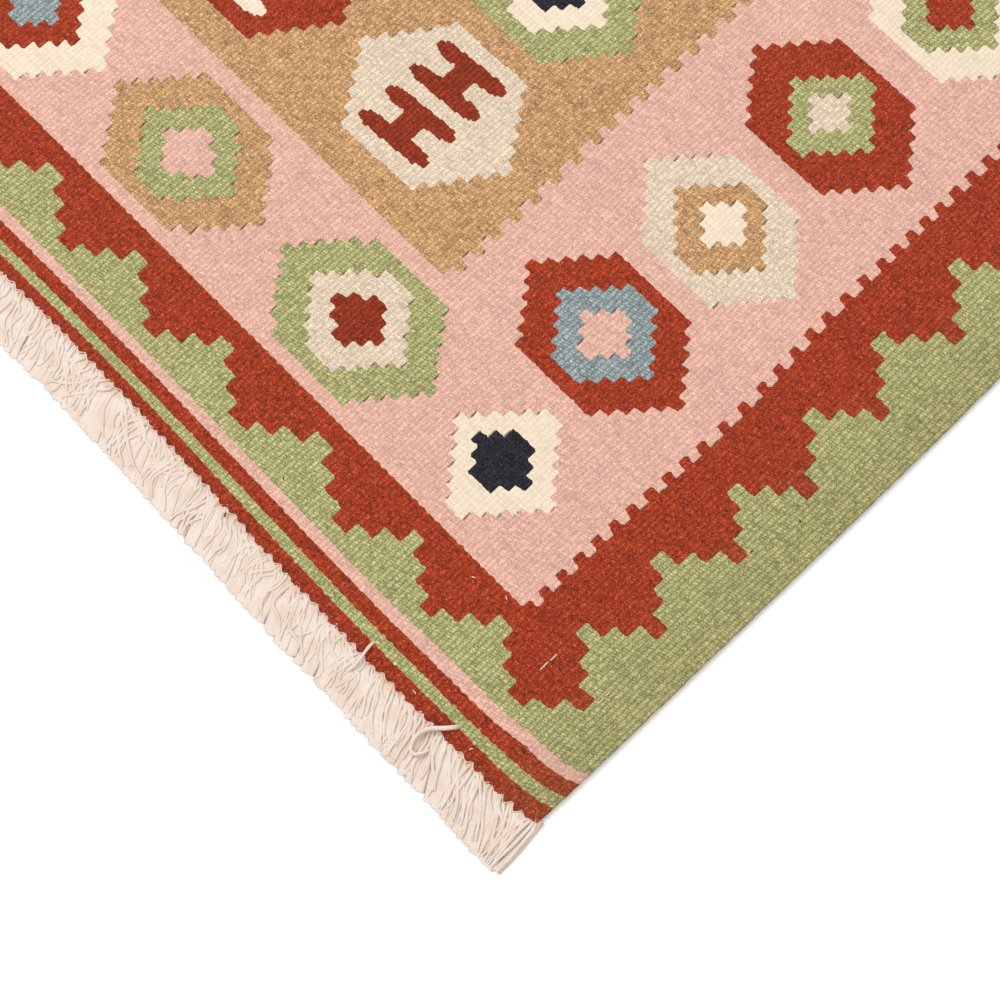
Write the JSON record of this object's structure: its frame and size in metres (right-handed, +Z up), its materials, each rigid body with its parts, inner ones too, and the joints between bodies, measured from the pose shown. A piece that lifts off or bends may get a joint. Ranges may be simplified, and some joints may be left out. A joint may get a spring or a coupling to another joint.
{
  "type": "kilim rug",
  "caption": "Flat-woven wool rug with stepped borders, hexagon motifs and a cotton warp fringe along both ends, lying flat.",
  "frame": {"origin": "centre of the rug's footprint, on the floor it lies on", "axes": "+Z up from the underside, +Y along the warps towards the far fringe, +X across the rug"},
  "size_m": [0.98, 1.5737, 0.003],
  "materials": {
    "woven_wool": "weft-faced tapestry weave of matte wool in pink, madder red, sage green, camel and ecru",
    "warp_cotton": "loose undyed twisted cotton warp yarns"
  },
  "bodies": {
    "root": {"kilim_cloth": "woven_wool", "fringe_near": "warp_cotton", "fringe_far": "warp_cotton"}
  },
  "joints": []
}
